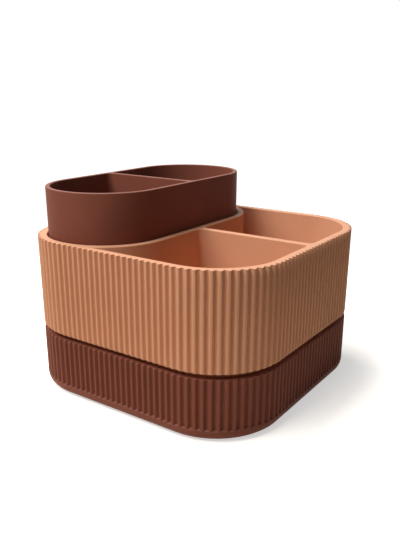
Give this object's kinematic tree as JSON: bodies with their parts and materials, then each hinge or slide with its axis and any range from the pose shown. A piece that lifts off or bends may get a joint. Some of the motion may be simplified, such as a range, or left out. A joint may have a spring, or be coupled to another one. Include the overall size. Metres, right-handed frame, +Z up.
{
  "type": "makeup stand",
  "caption": "Square makeup stand with rounded corners: a ribbed lower tray under a ribbed upper tray with compartments, and a tall smooth cup for brushes that lifts out of its pocket.",
  "frame": {"origin": "middle of the underside of the lower tray, on the surface it stands on", "axes": "+Z up; -Y is the front, the long side seen most squarely in the picture; +X is the half with the open compartments, -X the half with the cup"},
  "size_m": [0.18, 0.18, 0.136],
  "materials": {
    "brown_print": "matte printed PLA, dark brown",
    "caramel_print": "matte printed PLA, caramel"
  },
  "bodies": {
    "base": {"lower_tray": "brown_print"},
    "tray": {"upper_tray": "caramel_print"},
    "cup": {"brush_cup": "brown_print"}
  },
  "joints": [
    {"name": "upper_tray_lift", "type": "slide", "parent": "base", "child": "tray", "axis": [0, 0, 1], "range_m": [0, 0.12]},
    {"name": "cup_lift", "type": "slide", "parent": "tray", "child": "cup", "axis": [0, 0, 1], "range_m": [0, 0.1]}
  ]
}
